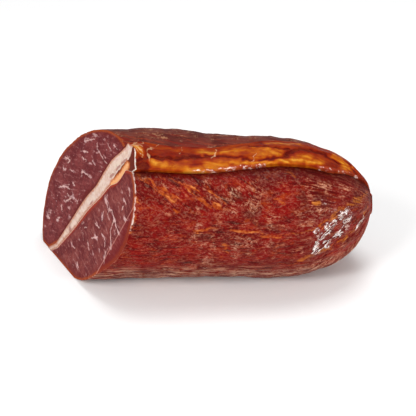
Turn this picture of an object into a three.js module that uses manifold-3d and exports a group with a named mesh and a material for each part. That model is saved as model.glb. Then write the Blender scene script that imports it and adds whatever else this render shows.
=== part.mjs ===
// A piece of cured black pork loin, lying on its side and cut at an angle across one end.
// Two muscles lie against a seam of white fat. The seam crosses the whole cut face, runs the length of
// the piece, and comes out along the top as a raised amber strip. The far end is the gathered, rounded
// tail of the loin. Millimetres, +X from the cut face to the tail, +Z up, -Y the side that is shown.

import * as THREE from "three";
import { mergeVertices } from "three/addons/utils/BufferGeometryUtils.js";
import Module from "manifold-3d";

const wasm = await Module();
wasm.setup();

// The body, in millimetres. Sections are drawn about the loin's own axis, and angles are in degrees
// from +Y towards +Z.
const LOIN_START = -94; // where the uncut loin is drawn from, well before the knife
const WAIST_START = -40; // the middle is slimmer than the cut end
const WAIST_END = 15;
const WAIST = 0.056;
const TAIL_START = 20; // where the tail begins to round off
const TAIL_TIP = 81.6;
const TAIL_FULLNESS = 2.4; // how late the tail closes
const TAIL_BLUNTNESS = 2.1; // how round its end is
const TIP_SHARE = 0.14; // the last ring's size against the full section
const TIP_RISE = 2.5; // how far the gathered tip sits above the tail's middle
const TIP_RISE_START = 73;
const NUB_LENGTH = 1; // the gathered skin that stands out of the tip
const NUB_SHARE = 0.7; // its end against the last ring
const AXIS_DROP = 4.4; // how far the tail's axis sinks below the cut end's
const AXIS_DROP_START = -40;
const AXIS_DROP_END = 75;
const RESTING_PLANE = -39.4; // the flat that the piece lies on, below the axis
const GAP = 0.3; // the clearance between neighbouring pieces

// The loin's section at the cut, anticlockwise from the far side: [y, z].
const SECTION = [
  [40.6, -8],
  [37, 8.4],
  [28.4, 21.8],
  [16, 34.6],
  [2.2, 41.8],
  [-10.6, 43],
  [-22.8, 38],
  [-32.4, 31],
  [-38, 20],
  [-38, 7],
  [-34.8, -8],
  [-28, -21.2],
  [-16.6, -34],
  [-3.8, -40.4],
  [13, -42],
  [28, -41.4],
  [35.4, -32.4],
  [39.2, -22],
];

// The middle of the fat seam from under the strip to just above the bottom: [y, z, half its thickness].
const SEAM = [
  [-17.2, 34.4, 5.2],
  [-13.2, 27, 6.2],
  [-8.9, 20.3, 4.6],
  [-4.6, 10.4, 3.7],
  [1.9, -0.6, 3.3],
  [8.9, -16.6, 2.7],
  [17.2, -34, 1.5],
];
const SEAM_TURN_LOW = -8; // between these heights the seam comes to turn with the strip above it
const SEAM_TURN_HIGH = 34;
const SEAM_THINNING = 0.9; // how soon it thins with the tail
const SEAM_BACK = 299.9; // where the seam's two sides reach the underside
const SEAM_FRONT = 296.1;

// The strip's edges on the body. They drift over the top towards the tail, and close in on its tip.
const STRIP_UPPER = 108;
const STRIP_LOWER = 128.5;
const UPPER_DRIFT = 24;
const LOWER_DRIFT = 11;
const UPPER_CLOSE = 12;
const LOWER_CLOSE = 16;
const RIDGE_HEIGHT = 2.6; // how far the strip stands proud of the meat
const KNOB_HEIGHT = 4.4; // how much further it stands at the cut
const KNOB_SHARE = 0.32; // where the knob's crest lies across the strip
const KNOB_WIDTH = 0.4;
const KNOB_START = -38; // where the knob begins to sink into the strip
const KNOB_END = -24;
const GROOVE_DEPTH = 1.4; // the hollow in the front muscle under the strip
const GROOVE_WIDTH = 6;

// The skin's relief.
const PLEATS = 13; // the folds of skin gathered into the tail
const PLEAT_DEPTH = 0.9;
const PLEAT_START = 36;
const PLEAT_END = 74;
const SWELL = 0.6; // slow unevenness of the whole surface
const NET_DENT = 0.4; // the marks of the net that the loin was cured in
const NET_PITCH = 19;
const NET_SHARPNESS = 8;
const CALM_TIP = 0.4; // the size below which swell and net fade away

// The knife: the main cut leans back towards the near side and the top, and a second, shorter stroke
// takes off the near lower edge.
const CUT_X = -59.5;
const CUT_LEAN_Y = -0.45; // how far the cut runs forward for each millimetre along +Y
const CUT_LEAN_Z = 0.28;
const TRIM_TOP = [-37.1, 20.2]; // the ends of the crease between the two strokes: [y, z]
const TRIM_BOTTOM = [-23.4, -26.3];
const TRIM_SLOPE = 0.3; // how much more the second stroke runs back
const BLOCK = 400; // the size of the blocks that cut the piece

// Mesh density.
const BODY_RINGS = 17;
const TAIL_RINGS = 22;
const ARC_STEP = 6; // degrees
const STRIP_STEPS = 7;
const FOOT_STEPS = 2;
const SEAM_STEPS = 12;
const SECTION_SAMPLES = 1440;
const MERGE_DISTANCE = 1e-4;

const smoothstep = (low, high, value) => THREE.MathUtils.smoothstep(value, low, high);

const polar = (radius, degrees) => {
  const turn = THREE.MathUtils.degToRad(degrees);
  return new THREE.Vector2(radius * Math.cos(turn), radius * Math.sin(turn));
};

const angleOf = (y, z) => THREE.MathUtils.radToDeg(Math.atan2(z, y));

// The section's radius at each whole degree, from a smooth closed curve through its points.
function sectionRadii() {
  const corners = SECTION.map(([y, z]) => new THREE.Vector3(y, z, 0));
  const curve = new THREE.CatmullRomCurve3(corners, true, "centripetal");
  const samples = curve.getPoints(SECTION_SAMPLES).map((p) => {
    return { degrees: angleOf(p.x, p.y), radius: Math.hypot(p.x, p.y) };
  });
  return Array.from({ length: 360 }, (_, degrees) => {
    const apart = (p) => Math.abs(THREE.MathUtils.euclideanModulo(p.degrees - degrees + 180, 360) - 180);
    return samples.reduce((best, p) => (apart(p) < apart(best) ? p : best)).radius;
  });
}

const radii = sectionRadii();

function sectionRadius(degrees) {
  const turn = THREE.MathUtils.euclideanModulo(degrees, 360);
  const whole = Math.floor(turn);
  return THREE.MathUtils.lerp(radii[whole % 360], radii[(whole + 1) % 360], turn - whole);
}

// How large the section is at x, against the cut end.
function taper(x) {
  const waist = 1 - WAIST * smoothstep(WAIST_START, WAIST_END, x);
  const tail = THREE.MathUtils.clamp((x - TAIL_START) / (TAIL_TIP - TAIL_START), 0, 1);
  return waist * Math.pow(1 - Math.pow(tail, TAIL_FULLNESS), 1 / TAIL_BLUNTNESS);
}

function axisHeight(x) {
  const drop = AXIS_DROP * smoothstep(AXIS_DROP_START, AXIS_DROP_END, x);
  return TIP_RISE * smoothstep(TIP_RISE_START, TAIL_TIP, x) - drop;
}

function stripUpper(x) {
  const atKnob = 3 * (1 - smoothstep(-44, -30, x));
  const drift = UPPER_DRIFT * smoothstep(-4, 64, x);
  return STRIP_UPPER + atKnob - drift + UPPER_CLOSE * smoothstep(68, TAIL_TIP, x);
}

function stripLower(x) {
  const drift = LOWER_DRIFT * smoothstep(-12, 50, x);
  return STRIP_LOWER - drift - LOWER_CLOSE * smoothstep(58, TAIL_TIP, x);
}

// The height of the outer skin over the plain section.
function skinRelief(x, degrees) {
  const turn = THREE.MathUtils.degToRad(degrees);
  const broad = Math.sin(3 * turn + 0.05 * x) * Math.sin(turn + 0.062 * x);
  const narrow = Math.sin(5 * turn - 0.08 * x) / 2;
  const net = Math.pow(Math.cos((Math.PI * x) / NET_PITCH + 0.5 * Math.sin(2 * turn)), NET_SHARPNESS);
  const pleats = Math.sin(PLEATS * turn + 1.3 * Math.sin(2 * turn));
  const creases = Math.sin(2 * PLEATS * turn + 0.7) / 2;
  const size = taper(x);
  const calm = smoothstep(0, CALM_TIP, size);
  const gathered = smoothstep(PLEAT_START, PLEAT_END, x) * Math.pow(size, 0.7);
  return (SWELL * (broad + narrow) - NET_DENT * net) * calm + PLEAT_DEPTH * (pleats + creases) * gathered;
}

// How far the strip stands proud, from its upper edge (0) to its lower edge (1).
function ridgeRelief(x, share) {
  const crown = 0.15 + 0.85 * smoothstep(0, 0.5, share) - 0.25 * smoothstep(0.75, 1, share);
  const knob = Math.exp(-Math.pow((share - KNOB_SHARE) / KNOB_WIDTH, 2));
  const sunk = smoothstep(KNOB_START, KNOB_END, x);
  return (RIDGE_HEIGHT * crown + KNOB_HEIGHT * knob * (1 - sunk)) * Math.sqrt(taper(x));
}

function grooveRelief(x, degrees) {
  const turn = THREE.MathUtils.degToRad(degrees - stripLower(x));
  const below = turn * sectionRadius(degrees) * taper(x);
  return -GROOVE_DEPTH * Math.exp(-below / GROOVE_WIDTH) * taper(x);
}

// A point of the outer skin, on the ring at x.
function skinPoint(x, degrees, extra) {
  return polar(sectionRadius(degrees) * taper(x) + skinRelief(x, degrees) + extra, degrees);
}

// The seam's middle line and half thickness at the ring at x, as a list from top to bottom. Its upper
// part turns and spreads with the strip.
function seamLine(x) {
  const turned = (stripUpper(x) + stripLower(x) - stripUpper(CUT_X) - stripLower(CUT_X)) / 2;
  const spread = (stripLower(x) - stripUpper(x)) / (stripLower(CUT_X) - stripUpper(CUT_X));
  const corners = [];
  const widths = [];
  for (const [y, z, half] of SEAM) {
    const nearStrip = smoothstep(SEAM_TURN_LOW, SEAM_TURN_HIGH, z);
    const degrees = angleOf(y, z) + turned * nearStrip;
    const depth = Math.hypot(y, z) / sectionRadius(angleOf(y, z));
    const corner = polar(depth * sectionRadius(degrees) * taper(x), degrees);
    corners.push(new THREE.Vector3(corner.x, corner.y, 0));
    widths.push(new THREE.Vector3(half * THREE.MathUtils.lerp(1, spread, nearStrip), 0, 0));
  }
  const middle = new THREE.CatmullRomCurve3(corners, false, "centripetal");
  const halves = new THREE.CatmullRomCurve3(widths);
  const thinning = Math.pow(taper(x), SEAM_THINNING);
  return Array.from({ length: SEAM_STEPS }, (_, step) => {
    const share = step / (SEAM_STEPS - 1);
    const point = middle.getPoint(share);
    const along = middle.getTangent(share);
    return {
      point: new THREE.Vector2(point.x, point.y),
      towardsFront: new THREE.Vector2(along.y, -along.x),
      half: halves.getPoint(share).x * thinning,
    };
  });
}

// One side of the seam. Side 1 faces the front muscle and -1 the back one; grow moves it off the fat.
function seamSide(x, side, grow) {
  return seamLine(x).map(({ point, towardsFront, half }) =>
    point.clone().addScaledVector(towardsFront, side * (half + grow)),
  );
}

// A skin point at an edge between two pieces, half the gap off it. Side 1 is anticlockwise of the edge.
function besideEdge(x, degrees, side, extra) {
  const turn = (side * GAP) / 2 / (sectionRadius(degrees) * taper(x));
  return skinPoint(x, degrees, extra).rotateAround(new THREE.Vector2(), turn);
}

// The skin from one edge to the next, anticlockwise.
function arc(x, from, to, steps, reliefAt) {
  return Array.from({ length: steps + 1 }, (_, step) => {
    const share = step / steps;
    const degrees = THREE.MathUtils.lerp(from, to, share);
    const extra = reliefAt(degrees, share);
    if (step === 0) return besideEdge(x, degrees, 1, extra);
    if (step === steps) return besideEdge(x, degrees, -1, extra);
    return skinPoint(x, degrees, extra);
  });
}

const noRelief = () => 0;

// Each piece's ring at x, anticlockwise seen from the tail.
function backMuscleRing(x) {
  const steps = Math.round((STRIP_UPPER - SEAM_BACK + 360) / ARC_STEP);
  return [...arc(x, SEAM_BACK - 360, stripUpper(x), steps, noRelief), ...seamSide(x, -1, GAP / 2)];
}

function fatSeamRing(x) {
  const upper = stripUpper(x);
  const lower = stripLower(x);
  return [
    besideEdge(x, upper, 1, 0),
    ...arc(x, upper, lower, STRIP_STEPS, (_, share) => ridgeRelief(x, share)),
    besideEdge(x, lower, -1, grooveRelief(x, lower)),
    ...seamSide(x, 1, -GAP / 2),
    ...arc(x, SEAM_FRONT, SEAM_BACK, FOOT_STEPS, noRelief),
    ...seamSide(x, -1, -GAP / 2).reverse(),
  ];
}

function frontMuscleRing(x) {
  const steps = Math.round((SEAM_FRONT - STRIP_LOWER) / ARC_STEP);
  return [
    ...arc(x, stripLower(x), SEAM_FRONT, steps, (degrees) => grooveRelief(x, degrees)),
    ...seamSide(x, 1, GAP / 2).reverse(),
  ];
}

// Where the rings stand: evenly along the body, then closer and closer into the tail.
function stations() {
  const body = Array.from({ length: BODY_RINGS }, (_, ring) =>
    THREE.MathUtils.lerp(LOIN_START, TAIL_START, ring / BODY_RINGS),
  );
  const closed = Math.pow(1 - Math.pow(TIP_SHARE / (1 - WAIST), TAIL_BLUNTNESS), 1 / TAIL_FULLNESS);
  const tail = Array.from({ length: TAIL_RINGS + 1 }, (_, ring) => {
    const share = closed * Math.sin(((ring / TAIL_RINGS) * Math.PI) / 2);
    return THREE.MathUtils.lerp(TAIL_START, TAIL_TIP, share);
  });
  return [...body, ...tail];
}

// A closed skin through a piece's rings, with the nub and flat ends. A ring that ends with a run up the
// seam has the faces there split the other way, so that both sides of a gap have the same triangles.
function loft(ringAt, endsUpSeam) {
  const rings = stations().map((x) => ringAt(x).map((p) => new THREE.Vector3(x, p.x, p.y + axisHeight(x))));
  const last = rings[rings.length - 1];
  const axis = new THREE.Vector3(0, 0, axisHeight(last[0].x));
  rings.push(last.map((p) => p.clone().lerp(axis, 1 - NUB_SHARE).setX(p.x + NUB_LENGTH)));
  const count = last.length;
  const turnsAt = endsUpSeam ? count - SEAM_STEPS - 1 : count;
  const faces = [];
  for (let ring = 0; ring + 1 < rings.length; ring += 1) {
    for (let corner = 0; corner < count; corner += 1) {
      const a = ring * count + corner;
      const b = ring * count + ((corner + 1) % count);
      if (corner < turnsAt) faces.push(a, b, b + count, a, b + count, a + count);
      else faces.push(a, b, a + count, b, b + count, a + count);
    }
  }
  const flat = (ring) => THREE.ShapeUtils.triangulateShape(ring.map((p) => new THREE.Vector2(p.y, p.z)), []);
  const nub = (rings.length - 1) * count;
  for (const [a, b, c] of flat(rings[0])) faces.push(c, b, a);
  for (const [a, b, c] of flat(last)) faces.push(nub + a, nub + b, nub + c);
  const geometry = new THREE.BufferGeometry().setFromPoints(rings.flat());
  return geometry.setIndex(faces);
}

function solidOf(geometry) {
  geometry.deleteAttribute("normal");
  geometry.deleteAttribute("uv");
  const merged = mergeVertices(geometry, MERGE_DISTANCE);
  return new wasm.Manifold(
    new wasm.Mesh({
      numProp: 3,
      vertProperties: Float32Array.from(merged.getAttribute("position").array),
      triVerts: Uint32Array.from(merged.getIndex().array),
    }),
  );
}

// A block that takes away everything on the side of a plane that its normal points to.
function blockBeyond(point, normal) {
  const block = new THREE.BoxGeometry(BLOCK, BLOCK, BLOCK);
  const turn = new THREE.Quaternion().setFromUnitVectors(new THREE.Vector3(0, 0, 1), normal);
  block.applyQuaternion(turn);
  block.translate(...point.clone().addScaledVector(normal, BLOCK / 2));
  return solidOf(block);
}

function cutAt(y, z) {
  return new THREE.Vector3(CUT_X + CUT_LEAN_Y * y + CUT_LEAN_Z * z, y, z);
}

function mainStroke() {
  return blockBeyond(cutAt(0, 0), new THREE.Vector3(-1, CUT_LEAN_Y, CUT_LEAN_Z).normalize());
}

// The second stroke turns about the crease, and runs further back the further it is below it.
function trimStroke() {
  const top = cutAt(...TRIM_TOP);
  const crease = cutAt(...TRIM_BOTTOM).sub(top).normalize();
  const outwards = new THREE.Vector2(crease.z, -crease.y).normalize();
  const beyond = cutAt(TRIM_TOP[0] + outwards.x, TRIM_TOP[1] + outwards.y).sub(top);
  beyond.x += TRIM_SLOPE;
  const normal = crease.clone().cross(beyond).normalize();
  if (normal.x > 0) normal.negate();
  return blockBeyond(top, normal);
}

function table() {
  return blockBeyond(new THREE.Vector3(0, 0, RESTING_PLANE), new THREE.Vector3(0, 0, -1));
}

function meshOf(name, solid, finish) {
  const { vertProperties, triVerts } = solid.getMesh();
  const geometry = new THREE.BufferGeometry();
  geometry.setAttribute("position", new THREE.BufferAttribute(vertProperties, 3));
  geometry.setIndex(new THREE.BufferAttribute(triVerts, 1));
  geometry.computeVertexNormals();
  const mesh = new THREE.Mesh(geometry, new THREE.MeshStandardMaterial({ metalness: 0, ...finish }));
  mesh.name = name;
  return mesh;
}

function backMuscle() {
  const whole = solidOf(loft(backMuscleRing, false));
  const solid = whole.subtract(mainStroke()).subtract(table());
  return meshOf("back_muscle", solid, { color: "#79423a", roughness: 0.55 });
}

function fatSeam() {
  const whole = solidOf(loft(fatSeamRing, true));
  const solid = whole.subtract(mainStroke()).subtract(table());
  return meshOf("fat_seam", solid, { color: "#c98a4c", roughness: 0.35 });
}

function frontMuscle() {
  const whole = solidOf(loft(frontMuscleRing, true));
  const solid = whole.subtract(mainStroke()).subtract(trimStroke()).subtract(table());
  return meshOf("front_muscle", solid, { color: "#86281f", roughness: 0.4 });
}

const loin = new THREE.Group();
loin.add(backMuscle(), fatSeam(), frontMuscle());

// The origin is the middle of the piece's box, on the surface that it lies on.
const box = new THREE.Box3().setFromObject(loin);
const middle = box.getCenter(new THREE.Vector3());
loin.position.set(-middle.x, -middle.y, -box.min.z);

export default loin;
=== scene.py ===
"""A piece of cured black pork loin, lying on its side, with its slanted cut face towards -X.

The loin is three pieces, as in the solids: the back muscle, the seam of fat with its amber strip, and
the front muscle. Each is one closed sheet wrapped round the same form as its solid, with the relief of
the dried skin and of the knife's cut added. Sizes are millimetres about the loin's own axis, and
angles are degrees from +Y towards +Z, until to_frame turns them into metres in the shared frame.
"""

import math

import bmesh
import bpy
import numpy as np
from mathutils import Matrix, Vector, noise


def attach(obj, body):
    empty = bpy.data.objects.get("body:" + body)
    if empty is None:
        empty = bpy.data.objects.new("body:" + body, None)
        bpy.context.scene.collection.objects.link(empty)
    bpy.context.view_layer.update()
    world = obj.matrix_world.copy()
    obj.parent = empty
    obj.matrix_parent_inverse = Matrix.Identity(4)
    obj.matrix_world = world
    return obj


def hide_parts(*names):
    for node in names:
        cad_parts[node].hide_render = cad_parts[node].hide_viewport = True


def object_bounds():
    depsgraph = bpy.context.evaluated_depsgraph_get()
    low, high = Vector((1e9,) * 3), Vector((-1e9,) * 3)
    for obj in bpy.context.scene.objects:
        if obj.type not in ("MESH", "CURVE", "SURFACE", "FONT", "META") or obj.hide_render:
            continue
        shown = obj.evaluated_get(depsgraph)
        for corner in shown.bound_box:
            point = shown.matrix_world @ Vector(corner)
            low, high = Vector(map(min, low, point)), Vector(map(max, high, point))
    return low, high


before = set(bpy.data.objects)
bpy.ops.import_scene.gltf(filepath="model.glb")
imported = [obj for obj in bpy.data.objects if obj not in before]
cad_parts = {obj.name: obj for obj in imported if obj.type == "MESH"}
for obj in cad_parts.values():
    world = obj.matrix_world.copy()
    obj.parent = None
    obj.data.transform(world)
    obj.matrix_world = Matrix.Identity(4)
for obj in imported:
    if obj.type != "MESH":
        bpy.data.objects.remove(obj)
cad_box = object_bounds()

# The loin's form, with the same values as the solids.
LOIN_START = -94
WAIST_START, WAIST_END, WAIST = -40, 15, 0.056
TAIL_START, TAIL_TIP = 20, 81.6
TAIL_FULLNESS, TAIL_BLUNTNESS = 2.4, 2.1
TIP_SHARE = 0.14
TIP_RISE, TIP_RISE_START = 2.5, 73
NUB_LENGTH = 1.0
AXIS_DROP, AXIS_DROP_START, AXIS_DROP_END = 4.4, -40, 75
RESTING_PLANE = -39.4
AXIS_PLACE = (1.23293, -1.32993, 39.4)  # where the loin's own frame lies in the shared frame

SECTION = [
    (40.6, -8),
    (37, 8.4),
    (28.4, 21.8),
    (16, 34.6),
    (2.2, 41.8),
    (-10.6, 43),
    (-22.8, 38),
    (-32.4, 31),
    (-38, 20),
    (-38, 7),
    (-34.8, -8),
    (-28, -21.2),
    (-16.6, -34),
    (-3.8, -40.4),
    (13, -42),
    (28, -41.4),
    (35.4, -32.4),
    (39.2, -22),
]
SEAM = [
    (-17.2, 34.4, 5.2),
    (-13.2, 27, 6.2),
    (-8.9, 20.3, 4.6),
    (-4.6, 10.4, 3.7),
    (1.9, -0.6, 3.3),
    (8.9, -16.6, 2.7),
    (17.2, -34, 1.5),
]
SEAM_TURN_LOW, SEAM_TURN_HIGH = -8, 34
SEAM_THINNING = 0.9
SEAM_BACK, SEAM_FRONT = 299.9, 296.1
STRIP_UPPER, STRIP_LOWER = 108, 128.5
UPPER_DRIFT, LOWER_DRIFT = 24, 11
UPPER_CLOSE, LOWER_CLOSE = 12, 16
RIDGE_HEIGHT = 2.6
KNOB_HEIGHT, KNOB_SHARE, KNOB_WIDTH = 4.4, 0.32, 0.4
KNOB_START, KNOB_END = -38, -24
GROOVE_DEPTH, GROOVE_WIDTH = 1.4, 6
PLEATS, PLEAT_DEPTH, PLEAT_START, PLEAT_END = 13, 0.9, 36, 74
SWELL = 0.6
NET_DENT, NET_PITCH, NET_SHARPNESS = 0.4, 19, 8
CALM_TIP = 0.4
CUT_X, CUT_LEAN_Y, CUT_LEAN_Z = -59.5, -0.45, 0.28
TRIM_TOP, TRIM_BOTTOM = (-37.1, 20.2), (-23.4, -26.3)
TRIM_SLOPE = 0.3

JOIN = 0.08  # the clearance between neighbouring pieces here, where the solids keep 0.3
SKIN_RADIUS = 40  # angles on the skin times this are its distances round the loin
SHORT_STEP = 1e-3


def ease(low, high, value):
    """A smooth step from 0 at low to 1 at high."""
    share = np.clip((value - low) / (high - low), 0, 1)
    return share * share * (3 - 2 * share)


def blend(first, second, share):
    return first + (second - first) * share


def smooth_line(corners, share, closed=False):
    """Points on the smooth curve through the corners, which may differ from point to point."""
    if closed:
        ends = (corners[-1:], corners, corners[:1], corners[1:2])
        spans = len(corners)
    else:
        ends = (2 * corners[:1] - corners[1:2], corners, 2 * corners[-1:] - corners[-2:-1])
        spans = len(corners) - 1
    line = np.concatenate(ends)
    position = np.asarray(share, float) * spans
    whole = np.clip(np.floor(position), 0, spans - 1).astype(int)
    rest = (position - whole)[..., None]
    before, start, end, after = (
        np.take_along_axis(line, (whole + step)[None, ..., None], axis=0)[0] for step in range(4)
    )

    def stride(a, b):
        length = np.sqrt(np.sqrt(((a - b) ** 2).sum(-1, keepdims=True)))
        return np.maximum(length, 1e-4)

    first, middle, last = stride(before, start), stride(start, end), stride(end, after)
    leaving = (start - before) / first - (end - before) / (first + middle) + (end - start) / middle
    arriving = (end - start) / middle - (after - start) / (middle + last) + (after - end) / last
    leaving, arriving = leaving * middle, arriving * middle
    square = 3 * (end - start) - 2 * leaving - arriving
    cube = 2 * (start - end) + leaving + arriving
    return start + rest * (leaving + rest * (square + rest * cube))


def section_curve():
    share = np.linspace(0, 1, 2880, endpoint=False)
    corners = np.broadcast_to(np.array(SECTION, float)[:, None, :], (len(SECTION), len(share), 2))
    points = smooth_line(corners, share, closed=True)
    degrees = np.degrees(np.arctan2(points[:, 1], points[:, 0])) % 360
    order = np.argsort(degrees)
    return degrees[order], np.hypot(points[:, 0], points[:, 1])[order]


SECTION_DEGREES, SECTION_RADII = section_curve()


def section_radius(degrees):
    return np.interp(np.asarray(degrees) % 360, SECTION_DEGREES, SECTION_RADII, period=360)


def taper(x):
    waist = 1 - WAIST * ease(WAIST_START, WAIST_END, x)
    tail = np.clip((x - TAIL_START) / (TAIL_TIP - TAIL_START), 0, 1)
    return waist * (1 - tail**TAIL_FULLNESS) ** (1 / TAIL_BLUNTNESS)


def axis_height(x):
    return TIP_RISE * ease(TIP_RISE_START, TAIL_TIP, x) - AXIS_DROP * ease(AXIS_DROP_START, AXIS_DROP_END, x)


def strip_upper(x):
    at_knob = 3 * (1 - ease(-44, -30, x))
    return STRIP_UPPER + at_knob - UPPER_DRIFT * ease(-4, 64, x) + UPPER_CLOSE * ease(68, TAIL_TIP, x)


def strip_lower(x):
    return STRIP_LOWER - LOWER_DRIFT * ease(-12, 50, x) - LOWER_CLOSE * ease(58, TAIL_TIP, x)


def skin_relief(x, degrees):
    turn = np.radians(degrees)
    broad = np.sin(3 * turn + 0.05 * x) * np.sin(turn + 0.062 * x)
    narrow = np.sin(5 * turn - 0.08 * x) / 2
    net = np.cos(np.pi * x / NET_PITCH + 0.5 * np.sin(2 * turn)) ** NET_SHARPNESS
    pleats = np.sin(PLEATS * turn + 1.3 * np.sin(2 * turn))
    creases = np.sin(2 * PLEATS * turn + 0.7) / 2
    size = taper(x)
    gathered = ease(PLEAT_START, PLEAT_END, x) * size**0.7
    calm = ease(0, CALM_TIP, size)
    return (SWELL * (broad + narrow) - NET_DENT * net) * calm + PLEAT_DEPTH * (pleats + creases) * gathered


def ridge_relief(x, share):
    crown = 0.15 + 0.85 * ease(0, 0.5, share) - 0.25 * ease(0.75, 1, share)
    knob = np.exp(-(((share - KNOB_SHARE) / KNOB_WIDTH) ** 2))
    sunk = ease(KNOB_START, KNOB_END, x)
    return (RIDGE_HEIGHT * crown + KNOB_HEIGHT * knob * (1 - sunk)) * np.sqrt(taper(x))


def groove_relief(x, degrees):
    below = np.radians(degrees - strip_lower(x)) * section_radius(degrees) * taper(x)
    return -GROOVE_DEPTH * np.exp(-np.maximum(below, 0) / GROOVE_WIDTH) * taper(x)


def skin_point(x, degrees, extra):
    """The skin's place across the loin at x, standing extra above its plain relief."""
    turn = np.radians(degrees)
    radius = section_radius(degrees) * taper(x) + skin_relief(x, degrees) + extra
    return np.stack([radius * np.cos(turn), radius * np.sin(turn)], axis=-1)


def seam_line(x, share):
    """The fat's middle at x, from the strip (0) to the foot (1), the way to its front, and half its width."""
    turned = (strip_upper(x) + strip_lower(x) - strip_upper(CUT_X) - strip_lower(CUT_X)) / 2
    spread = (strip_lower(x) - strip_upper(x)) / (strip_lower(CUT_X) - strip_upper(CUT_X))
    corners, widths = [], []
    for y, z, half in SEAM:
        near_strip = ease(SEAM_TURN_LOW, SEAM_TURN_HIGH, z)
        plain = math.degrees(math.atan2(z, y))
        turn = np.radians(plain + turned * near_strip)
        reach = math.hypot(y, z) / section_radius(plain) * section_radius(np.degrees(turn)) * taper(x)
        corners.append(np.stack([reach * np.cos(turn), reach * np.sin(turn)], axis=-1))
        widths.append((half * blend(1, spread, near_strip))[..., None])
    corners, widths = np.array(corners), np.array(widths)
    middle = smooth_line(corners, share)
    ahead = smooth_line(corners, np.minimum(share + SHORT_STEP, 1))
    along = ahead - smooth_line(corners, np.maximum(share - SHORT_STEP, 0))
    along /= np.linalg.norm(along, axis=-1, keepdims=True)
    front = np.stack([along[..., 1], -along[..., 0]], axis=-1)
    return middle, front, smooth_line(widths, share) * (taper(x) ** SEAM_THINNING)[..., None]


def seam_side(x, share, side, grow):
    middle, front, half = seam_line(x, share)
    return middle + side * front * (half + grow)


def cut_x(y, z):
    """Where the knife went: the main stroke, and the second one that takes off the near lower edge."""
    main = CUT_X + CUT_LEAN_Y * y + CUT_LEAN_Z * z
    return main + TRIM_SLOPE * np.maximum(beyond_crease(y, z), 0)


def beyond_crease(y, z):
    """How far a place on the cut lies past the crease between the two strokes."""
    run_y, run_z = TRIM_BOTTOM[0] - TRIM_TOP[0], TRIM_BOTTOM[1] - TRIM_TOP[1]
    length = math.hypot(run_y, run_z)
    return ((y - TRIM_TOP[0]) * run_z - (z - TRIM_TOP[1]) * run_y) / length


# How far along the skin a place lies, so that rows stand evenly over the tail too.
CLOSED = (1 - (TIP_SHARE / (1 - WAIST)) ** TAIL_BLUNTNESS) ** (1 / TAIL_FULLNESS)
LAST_X = TAIL_START + (TAIL_TIP - TAIL_START) * CLOSED
PROFILE_X = np.concatenate([np.linspace(LOIN_START, 60, 600), np.linspace(60, LAST_X, 900)[1:]])
STRIDES = np.hypot(np.diff(PROFILE_X), SKIN_RADIUS * np.diff(taper(PROFILE_X)))
PROFILE_TRAVEL = np.concatenate([[0], np.cumsum(STRIDES)])


def travel_at(x):
    return np.interp(x, PROFILE_X, PROFILE_TRAVEL)


def x_at(travel):
    return np.interp(travel, PROFILE_TRAVEL, PROFILE_X)


# Marks on the loin. A stroke is its half width in millimetres and the places that it runs through:
# (x, degrees) on the skin, and (y, z) on the cut face.
ORANGE_STREAKS = [
    (0.8, [(-35, 131), (-30, 137), (-25, 141), (-18, 147)]),
    (0.7, [(-31, 133), (-24, 139), (-16, 146)]),
    (0.8, [(-19, 132), (-14, 136), (-3, 146)]),
    (0.7, [(-14, 134), (-6, 140)]),
    (0.6, [(-5, 135), (2, 141), (8, 147)]),
    (0.9, [(-3, 146), (-2, 149), (1, 151), (4, 151)]),
    (0.8, [(-17, 153), (-15, 155)]),
    (0.5, [(16, 132), (21, 136), (22, 139)]),
    (0.7, [(32, 144), (35, 146), (36, 148)]),
    (0.9, [(39, 123), (41, 127)]),
    (0.9, [(51, 145), (54, 146)]),
    (1.2, [(55, 165), (64, 151), (75, 135), (79, 120)]),
    (0.9, [(40, 214), (46, 203), (54, 196), (67, 189), (73, 178), (77, 167)]),
    (0.8, [(77, 167), (79, 152)]),
    (0.6, [(26, 172), (34, 173), (53, 167)]),
    (0.8, [(10, 168), (20, 169), (24, 168)]),
    (0.7, [(-9, 170), (3, 167)]),
    (1.2, [(-36, 144), (-37, 157), (-39, 170)]),
    (0.8, [(7, 183), (9, 194)]),
]
PALE_PATCHES = [
    (3, [(-22, 128), (-21, 137)]),
    (3, [(-1, 129), (-1, 140)]),
    (4, [(10, 139), (11, 151)]),
    (4, [(21, 140), (21, 153)]),
    (3, [(26, 181), (30, 179)]),
    (3.5, [(-7, 154), (-7, 184)]),
    (2.5, [(19, 180), (19, 190)]),
    (1.5, [(2, 168), (2, 189)]),
    (3, [(12, 177), (13, 206)]),
    (4, [(-2, 197), (-1, 221)]),
    (4, [(-20, 217), (-10, 213)]),
    (4, [(49, 133), (67, 129)]),
    (2, [(29, 157), (30, 167)]),
    (3, [(48, 160), (53, 152)]),
    (2, [(-6, 148), (-5, 152)]),
    (1.5, [(45, 189), (45, 196)]),
    (5, [(-38, 238), (-10, 229), (40, 232), (65, 209)]),
]
BARE_PATCHES = [
    (8, [(-34, 150), (-32, 200)]),
    (7, [(-16, 185), (-14, 206)]),
    (5, [(16, 208), (34, 212)]),
    (5, [(31, 138), (38, 146)]),
    (4, [(-24, 164), (-4, 160)]),
]
WET_FOLDS = [
    (1.5, [(52, 196), (53, 180), (53, 168)]),
    (3, [(53, 195), (58, 188), (67, 171), (69, 160)]),
    (3, [(55, 179), (59, 166), (68, 152)]),
    (1.5, [(73, 180), (75, 173), (77, 167)]),
]
SCRATCH = [(0.4, [(-40, 184), (-37, 189), (-34, 198)])]
CREASE = [(0.5, [(9, 156), (14, 154), (22, 154), (25, 152)])]
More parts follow.
